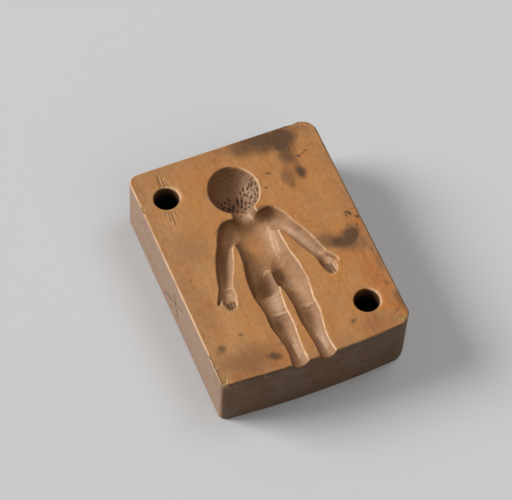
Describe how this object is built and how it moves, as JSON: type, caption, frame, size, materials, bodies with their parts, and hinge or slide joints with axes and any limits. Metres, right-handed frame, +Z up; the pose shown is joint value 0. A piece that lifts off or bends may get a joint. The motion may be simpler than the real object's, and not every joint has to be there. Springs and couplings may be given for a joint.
{
  "type": "wooden sugar mould",
  "caption": "Half of a wooden sugar mould: a flat block with a small standing figure carved into its face, open at the feet, and peg holes at opposite corners.",
  "frame": {"origin": "middle of the block's underside, at the centre of the bounding box's bottom", "axes": "+X across the figure, +Y along the grain from the figure's feet to its head, +Z up out of the carved face"},
  "size_m": [0.0632, 0.0816, 0.023],
  "materials": {
    "fruitwood": "close-grained fruitwood, hand carved, darkened and polished by use, with worn edges and a few stains"
  },
  "bodies": {
    "root": {"mould_block": "fruitwood"}
  },
  "joints": []
}
